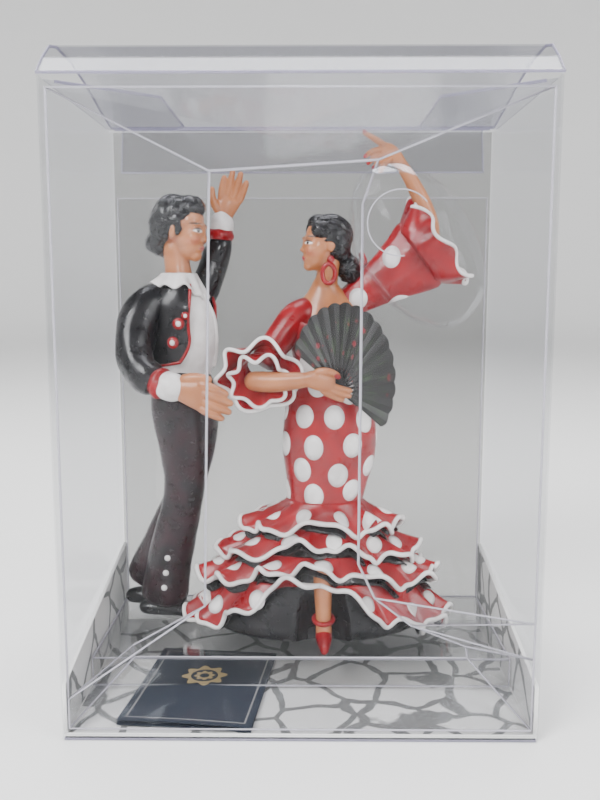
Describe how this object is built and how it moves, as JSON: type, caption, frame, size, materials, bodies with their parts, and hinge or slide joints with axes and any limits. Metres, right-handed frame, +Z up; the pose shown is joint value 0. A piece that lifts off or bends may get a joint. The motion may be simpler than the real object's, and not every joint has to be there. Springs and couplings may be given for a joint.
{
  "type": "boxed dancing couple figurine",
  "caption": "Painted resin dancing couple held by a clear tray in a folded clear carton with a hinged lid, printed card base and loose leaflet.",
  "frame": {"origin": "middle of the carton's footprint, on the surface it stands on", "axes": "+Z up the carton, -Y out of its front panel, +X to the viewer's right"},
  "size_m": [0.13, 0.082, 0.1865],
  "materials": {
    "clear_sheet": "clear gloss",
    "clear_tray": "clear gloss",
    "printed_card": "printed, satin",
    "leaflet_card": "printed, satin",
    "skin_paint": "painted resin, gloss",
    "hair_paint": "painted resin, gloss",
    "white_paint": "painted resin, gloss",
    "black_paint": "painted resin, gloss",
    "trouser_paint": "painted resin, gloss",
    "red_paint": "painted resin, gloss",
    "dress_paint": "painted resin, gloss",
    "fan_paint": "painted resin, gloss"
  },
  "bodies": {
    "root": {"front_panel": "clear_sheet", "back_panel": "clear_sheet", "left_panel": "clear_sheet", "right_panel": "clear_sheet", "bottom_panel": "clear_sheet", "bottom_flap_left": "clear_sheet", "bottom_flap_right": "clear_sheet", "glued_seam": "clear_sheet", "card_floor": "printed_card", "card_flap_left": "printed_card", "card_flap_right": "printed_card", "leaflet": "leaflet_card", "tray_rear": "clear_tray", "tray_front": "clear_tray", "man_head": "skin_paint", "man_hair": "hair_paint", "man_shirt": "white_paint", "man_collar": "white_paint", "man_jacket": "black_paint", "man_waistband": "black_paint", "man_trousers": "trouser_paint", "man_boot_near": "black_paint", "man_boot_far": "black_paint", "man_sleeve_near": "black_paint", "man_cuff_near": "white_paint", "man_hand_near": "skin_paint", "man_sleeve_far": "black_paint", "man_cuff_far": "white_paint", "man_hand_far": "skin_paint", "jacket_stud_1": "red_paint", "jacket_stud_2": "red_paint", "jacket_stud_3": "red_paint", "woman_head": "skin_paint", "woman_hair": "hair_paint", "woman_bun": "hair_paint", "woman_flower": "red_paint", "woman_earring": "red_paint", "woman_dress": "dress_paint", "underskirt": "black_paint", "flounce_1": "dress_paint", "flounce_2": "dress_paint", "flounce_3": "dress_paint", "flounce_4": "dress_paint", "woman_leg": "skin_paint", "woman_shoe": "red_paint", "woman_sleeve_near": "dress_paint", "sleeve_frill_near_outer": "dress_paint", "sleeve_frill_near_inner": "dress_paint", "woman_forearm_near": "skin_paint", "fan_leaf": "fan_paint", "fan_sticks": "fan_paint", "woman_sleeve_raised": "dress_paint", "sleeve_frill_raised_outer": "dress_paint", "sleeve_frill_raised_inner": "dress_paint", "woman_forearm_raised": "skin_paint"},
    "lid": {"lid_panel": "clear_sheet"},
    "tuck": {"tuck_flap": "clear_sheet"},
    "dust_left": {"dust_flap_left": "clear_sheet"},
    "dust_right": {"dust_flap_right": "clear_sheet"}
  },
  "joints": [
    {"name": "lid_fold", "type": "hinge", "parent": "root", "child": "lid", "pos_m": [0, -0.041, 0.1753], "axis": [1, 0, 0], "range_deg": [0, 150]},
    {"name": "tuck_fold", "type": "hinge", "parent": "lid", "child": "tuck", "pos_m": [0, 0.0402, 0.176], "axis": [1, 0, 0], "range_deg": [0, 52.5]},
    {"name": "dust_left_fold", "type": "hinge", "parent": "root", "child": "dust_left", "pos_m": [-0.0643, 0, 0.1745], "axis": [0, -1, 0], "range_deg": [0, 90]},
    {"name": "dust_right_fold", "type": "hinge", "parent": "root", "child": "dust_right", "pos_m": [0.0643, 0, 0.1745], "axis": [0, 1, 0], "range_deg": [0, 90]}
  ],
  "couplings": [
    {"joint": "tuck_fold", "follows": "lid_fold", "ratio": 0.35},
    {"joint": "dust_left_fold", "follows": "lid_fold", "ratio": 0.6},
    {"joint": "dust_right_fold", "follows": "lid_fold", "ratio": 0.6}
  ]
}
